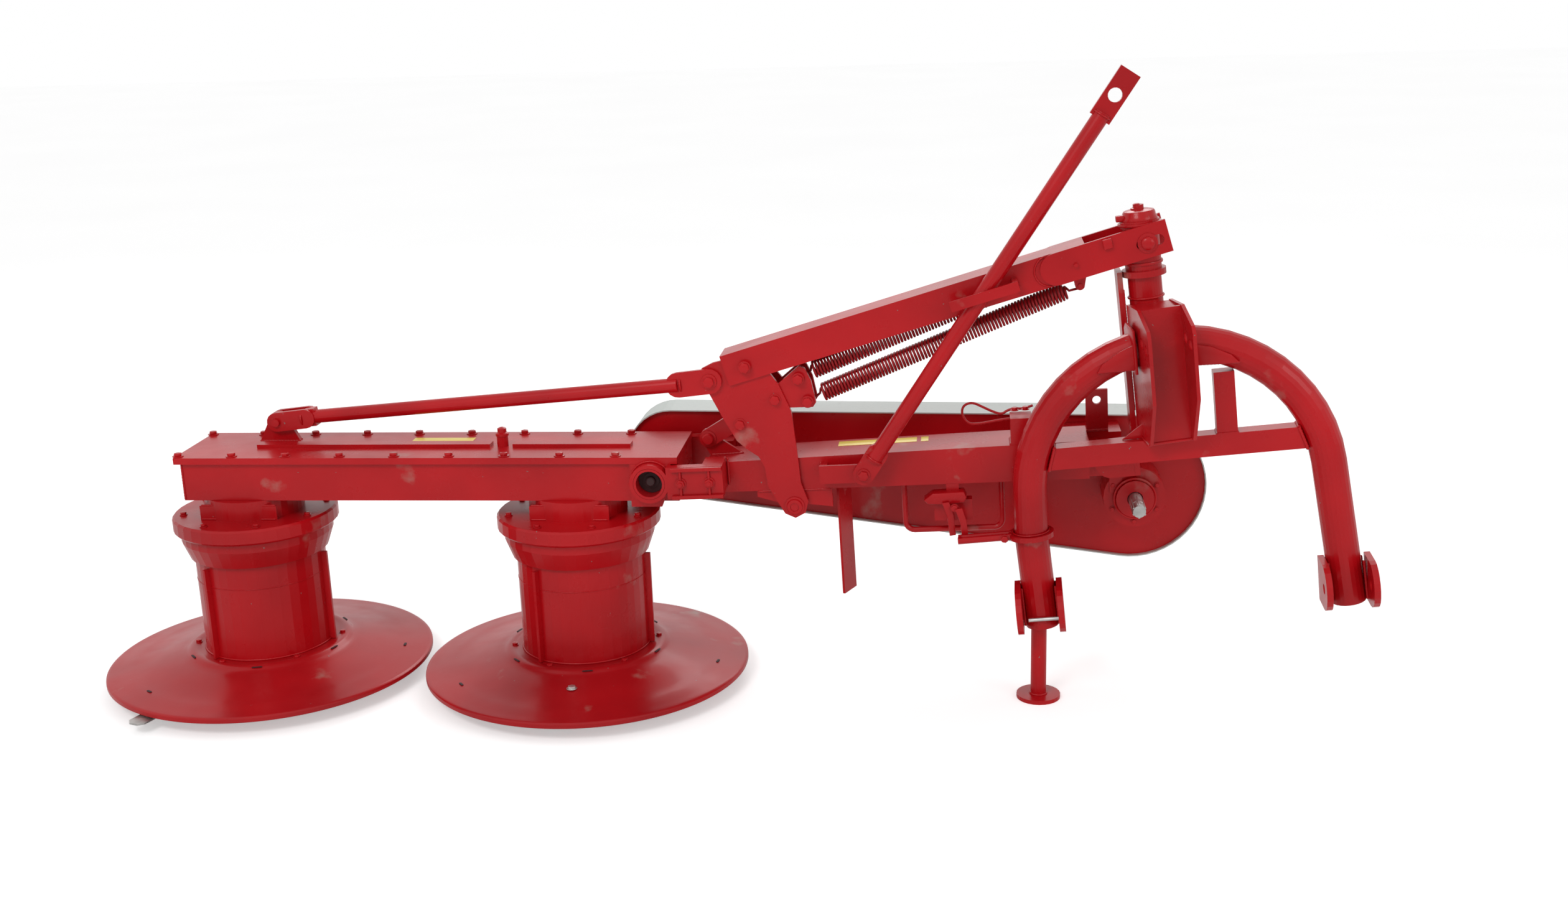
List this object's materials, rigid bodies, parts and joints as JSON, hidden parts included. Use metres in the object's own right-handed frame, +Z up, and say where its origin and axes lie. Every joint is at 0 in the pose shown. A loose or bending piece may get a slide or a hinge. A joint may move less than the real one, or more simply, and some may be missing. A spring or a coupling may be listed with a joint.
{
  "type": "rotary drum mower",
  "caption": "Three-point mounted rotary drum mower: gear case over drums with domed saucers and swinging knives, folding beam, belt guard, balance springs, arched hitch frame.",
  "frame": {"origin": "middle of the footprint, on the ground under the skids and the parking stand", "axes": "+X along the cutter bar towards the hitch, +Y away from the tractor, +Z up"},
  "size_m": [3.1066, 0.807, 1.4784],
  "materials": {
    "red_paint": "glossy red enamel",
    "bare_steel": "worn bare steel",
    "galvanised": "dull galvanised sheet"
  },
  "bodies": {
    "hitch": {"arch_left": "red_paint", "arch_right": "red_paint", "crossbar": "red_paint", "arch_strut": "red_paint", "tower": "red_paint", "post_tube": "red_paint", "ear_left_inner": "red_paint", "ear_left_outer": "red_paint", "ear_right_inner": "red_paint", "ear_right_outer": "red_paint", "latch_bars": "red_paint"},
    "stand": {"parking_stand": "red_paint"},
    "swivel": {"swivel_head": "red_paint", "swivel_strap": "red_paint"},
    "beam": {"main_beam": "red_paint", "hinge_bracket_front": "red_paint", "hinge_bracket_rear": "red_paint", "belt_guard": "red_paint", "guard_cover": "galvanised", "input_housing": "red_paint", "guard_stand_off": "red_paint", "guide_rod": "red_paint", "hanging_plate": "red_paint", "stop_link": "red_paint", "latch_pawl": "red_paint"},
    "input": {"input_stub": "bare_steel"},
    "cutter_bar": {"gear_case": "red_paint", "case_lid": "red_paint", "collar_1": "red_paint", "collar_2": "red_paint", "hinge_journal_front": "red_paint", "hinge_journal_rear": "red_paint"},
    "drum_1_body": {"drum_1": "red_paint", "disc_1": "red_paint"},
    "drum_2_body": {"drum_2": "red_paint", "disc_2": "red_paint"},
    "skid_1_body": {"skid_1": "bare_steel"},
    "skid_2_body": {"skid_2": "bare_steel"},
    "lever_body": {"lever": "red_paint"},
    "tie_rod_body": {"tie_rod": "red_paint"},
    "upper_arm_body": {"upper_arm": "red_paint"},
    "springs_body": {"spring_upper": "red_paint", "spring_lower": "red_paint"},
    "stay_rod_body": {"stay_rod": "red_paint"},
    "knife_1_1_body": {"knife_1_1": "bare_steel"},
    "knife_1_2_body": {"knife_1_2": "bare_steel"},
    "knife_1_3_body": {"knife_1_3": "bare_steel"},
    "knife_2_1_body": {"knife_2_1": "bare_steel"},
    "knife_2_2_body": {"knife_2_2": "bare_steel"},
    "knife_2_3_body": {"knife_2_3": "bare_steel"}
  },
  "joints": [
    {"name": "stand_slide", "type": "slide", "parent": "hitch", "child": "stand", "axis": [0, 0, 1], "range_m": [0, 0.07]},
    {"name": "swivel_turn", "type": "hinge", "parent": "hitch", "child": "swivel", "pos_m": [1.07424, -0.02, 0.58], "axis": [-0.1132, 0, 0.9936], "range_deg": [-65, 0]},
    {"name": "beam_hinge", "type": "hinge", "parent": "swivel", "child": "beam", "pos_m": [0.95998, -0.02, 0.56698], "axis": [0, 1, 0], "range_deg": [-3, 3]},
    {"name": "cutter_hinge", "type": "hinge", "parent": "beam", "child": "cutter_bar", "pos_m": [-0.12076, 0, 0.543], "axis": [0, 1, 0], "range_deg": [-6, 10]},
    {"name": "lever_turn", "type": "hinge", "parent": "beam", "child": "lever_body", "pos_m": [0.21545, 0, 0.46585], "axis": [0, 1, 0], "range_deg": [-4.14, 6.87]},
    {"name": "tie_rod_turn", "type": "hinge", "parent": "lever_body", "child": "tie_rod_body", "pos_m": [0.02245, 0, 0.77467], "axis": [0, 1, 0], "range_deg": [-0.47, 0.75]},
    {"name": "upper_arm_turn", "type": "hinge", "parent": "lever_body", "child": "upper_arm_body", "pos_m": [0.10816, 0, 0.80998], "axis": [0, 1, 0], "range_deg": [-6.87, 4.14]},
    {"name": "springs_turn", "type": "hinge", "parent": "lever_body", "child": "springs_body", "pos_m": [0.23149, 0, 0.7777], "axis": [0, 1, 0], "range_deg": [-7.89, 4.75], "deforming": ["spring_upper", "spring_lower"]},
    {"name": "stay_rod_turn", "type": "hinge", "parent": "beam", "child": "stay_rod_body", "pos_m": [0.38317, 0, 0.55435], "axis": [0, 1, 0], "range_deg": [-60, 0]},
    {"name": "input_spin", "type": "hinge", "parent": "beam", "child": "input", "pos_m": [1.03024, 0, 0.44], "axis": [0, 1, 0], "continuous": true},
    {"name": "drum_1_spin", "type": "hinge", "parent": "cutter_bar", "child": "drum_1_body", "pos_m": [-1.14976, 0, 0], "axis": [0, 0, 1], "continuous": true},
    {"name": "skid_1_spin", "type": "hinge", "parent": "cutter_bar", "child": "skid_1_body", "pos_m": [-1.14976, 0, 0], "axis": [0, 0, 1], "continuous": true},
    {"name": "knife_1_1_spin", "type": "hinge", "parent": "drum_1_body", "child": "knife_1_1_body", "pos_m": [-1.30185, -0.29849, 0], "axis": [0, 0, 1], "continuous": true},
    {"name": "knife_1_2_spin", "type": "hinge", "parent": "drum_1_body", "child": "knife_1_2_body", "pos_m": [-0.81522, 0.01753, 0], "axis": [0, 0, 1], "continuous": true},
    {"name": "knife_1_3_spin", "type": "hinge", "parent": "drum_1_body", "child": "knife_1_3_body", "pos_m": [-1.33222, 0.28095, 0], "axis": [0, 0, 1], "continuous": true},
    {"name": "drum_2_spin", "type": "hinge", "parent": "cutter_bar", "child": "drum_2_body", "pos_m": [-0.32476, 0, 0], "axis": [0, 0, 1], "continuous": true},
    {"name": "skid_2_spin", "type": "hinge", "parent": "cutter_bar", "child": "skid_2_body", "pos_m": [-0.32476, 0, 0], "axis": [0, 0, 1], "continuous": true},
    {"name": "knife_2_1_spin", "type": "hinge", "parent": "drum_2_body", "child": "knife_2_1_body", "pos_m": [-0.34229, -0.33454, 0], "axis": [0, 0, 1], "continuous": true},
    {"name": "knife_2_2_spin", "type": "hinge", "parent": "drum_2_body", "child": "knife_2_2_body", "pos_m": [-0.02627, 0.15209, 0], "axis": [0, 0, 1], "continuous": true},
    {"name": "knife_2_3_spin", "type": "hinge", "parent": "drum_2_body", "child": "knife_2_3_body", "pos_m": [-0.60572, 0.18245, 0], "axis": [0, 0, 1], "continuous": true}
  ],
  "couplings": [
    {"joint": "lever_turn", "follows": "cutter_hinge", "ratio": 0.682},
    {"joint": "tie_rod_turn", "follows": "cutter_hinge", "ratio": 0.07},
    {"joint": "upper_arm_turn", "follows": "cutter_hinge", "ratio": -0.682},
    {"joint": "springs_turn", "follows": "cutter_hinge", "ratio": -0.784},
    {"joint": "drum_2_spin", "follows": "drum_1_spin", "ratio": -1},
    {"joint": "input_spin", "follows": "drum_1_spin", "ratio": 0.295}
  ]
}
